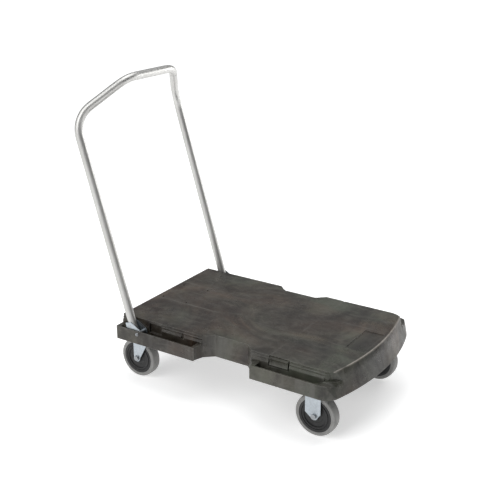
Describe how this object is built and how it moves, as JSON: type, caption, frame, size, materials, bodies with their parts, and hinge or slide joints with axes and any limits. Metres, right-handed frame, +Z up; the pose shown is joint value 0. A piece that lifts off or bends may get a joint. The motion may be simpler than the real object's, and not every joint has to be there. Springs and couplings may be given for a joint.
{
  "type": "folding platform cart",
  "caption": "Folding platform cart: a moulded plastic deck on swivelling and fixed casters, with a tubular push handle that folds down flat onto the deck.",
  "frame": {"origin": "on the floor under the middle of the whole object's box, handle upright", "axes": "+X towards the bowed front end, away from the push handle; +Y to the left of somebody pushing the cart; +Z up"},
  "size_m": [0.914, 0.5282, 0.9321],
  "materials": {
    "deck_plastic": "dark warm grey structural foam plastic, scuffed and mottled",
    "handle_tube": "silver grey satin steel tube",
    "zinc_plate": "bright zinc plated pressed steel",
    "zinc_hardware": "zinc plated bolts, nuts and spacers",
    "rivet_steel": "plain steel rivets",
    "bearing_steel": "polished bearing balls",
    "black_plastic": "black moulded plastic",
    "nylon": "natural nylon friction washers",
    "wheel_plastic": "black polypropylene wheel centre",
    "tread_rubber": "light grey thermoplastic rubber tread, slightly dirty"
  },
  "bodies": {
    "deck": {"deck": "deck_plastic", "left_pivot_bolt": "zinc_hardware", "left_pivot_sleeve": "zinc_hardware", "left_pivot_washers": "nylon", "left_pivot_nut": "zinc_hardware", "rear_left_plate": "zinc_plate", "rear_left_screws": "zinc_hardware", "rear_left_kingpin": "zinc_hardware", "front_left_fork": "zinc_plate", "front_left_screws": "zinc_hardware", "front_left_axle_bolt": "zinc_hardware", "front_left_axle_nut": "zinc_hardware", "front_left_sleeve": "zinc_hardware", "right_pivot_bolt": "zinc_hardware", "right_pivot_sleeve": "zinc_hardware", "right_pivot_washers": "nylon", "right_pivot_nut": "zinc_hardware", "rear_right_plate": "zinc_plate", "rear_right_screws": "zinc_hardware", "rear_right_kingpin": "zinc_hardware", "front_right_fork": "zinc_plate", "front_right_screws": "zinc_hardware", "front_right_axle_bolt": "zinc_hardware", "front_right_axle_nut": "zinc_hardware", "front_right_sleeve": "zinc_hardware"},
    "handle": {"handle_tube": "handle_tube", "left_handle_bracket": "zinc_plate", "left_bracket_rivets": "rivet_steel", "left_tube_plug": "black_plastic", "right_handle_bracket": "zinc_plate", "right_bracket_rivets": "rivet_steel", "right_tube_plug": "black_plastic"},
    "rear_left_swivel": {"rear_left_balls": "bearing_steel", "rear_left_fork": "zinc_plate", "rear_left_axle_bolt": "zinc_hardware", "rear_left_axle_nut": "zinc_hardware", "rear_left_sleeve": "zinc_hardware"},
    "rear_left_wheel": {"rear_left_hub": "wheel_plastic", "rear_left_tyre": "tread_rubber"},
    "front_left_wheel": {"front_left_hub": "wheel_plastic", "front_left_tyre": "tread_rubber"},
    "rear_right_swivel": {"rear_right_balls": "bearing_steel", "rear_right_fork": "zinc_plate", "rear_right_axle_bolt": "zinc_hardware", "rear_right_axle_nut": "zinc_hardware", "rear_right_sleeve": "zinc_hardware"},
    "rear_right_wheel": {"rear_right_hub": "wheel_plastic", "rear_right_tyre": "tread_rubber"},
    "front_right_wheel": {"front_right_hub": "wheel_plastic", "front_right_tyre": "tread_rubber"}
  },
  "joints": [
    {"name": "handle_fold", "type": "hinge", "parent": "deck", "child": "handle", "pos_m": [-0.24091, 0, 0.18], "axis": [0, 1, 0], "range_deg": [0, 106.8]},
    {"name": "rear_left_swivel", "type": "hinge", "parent": "deck", "child": "rear_left_swivel", "pos_m": [-0.25691, 0.186, 0.147], "axis": [0, 0, 1], "continuous": true},
    {"name": "rear_left_roll", "type": "hinge", "parent": "rear_left_swivel", "child": "rear_left_wheel", "pos_m": [-0.29191, 0.186, 0.0635], "axis": [0, 1, 0], "continuous": true},
    {"name": "front_left_roll", "type": "hinge", "parent": "deck", "child": "front_left_wheel", "pos_m": [0.34609, 0.196, 0.0635], "axis": [0, 1, 0], "continuous": true},
    {"name": "rear_right_swivel", "type": "hinge", "parent": "deck", "child": "rear_right_swivel", "pos_m": [-0.25691, -0.186, 0.147], "axis": [0, 0, 1], "continuous": true},
    {"name": "rear_right_roll", "type": "hinge", "parent": "rear_right_swivel", "child": "rear_right_wheel", "pos_m": [-0.29191, -0.186, 0.0635], "axis": [0, 1, 0], "continuous": true},
    {"name": "front_right_roll", "type": "hinge", "parent": "deck", "child": "front_right_wheel", "pos_m": [0.34609, -0.196, 0.0635], "axis": [0, 1, 0], "continuous": true}
  ]
}
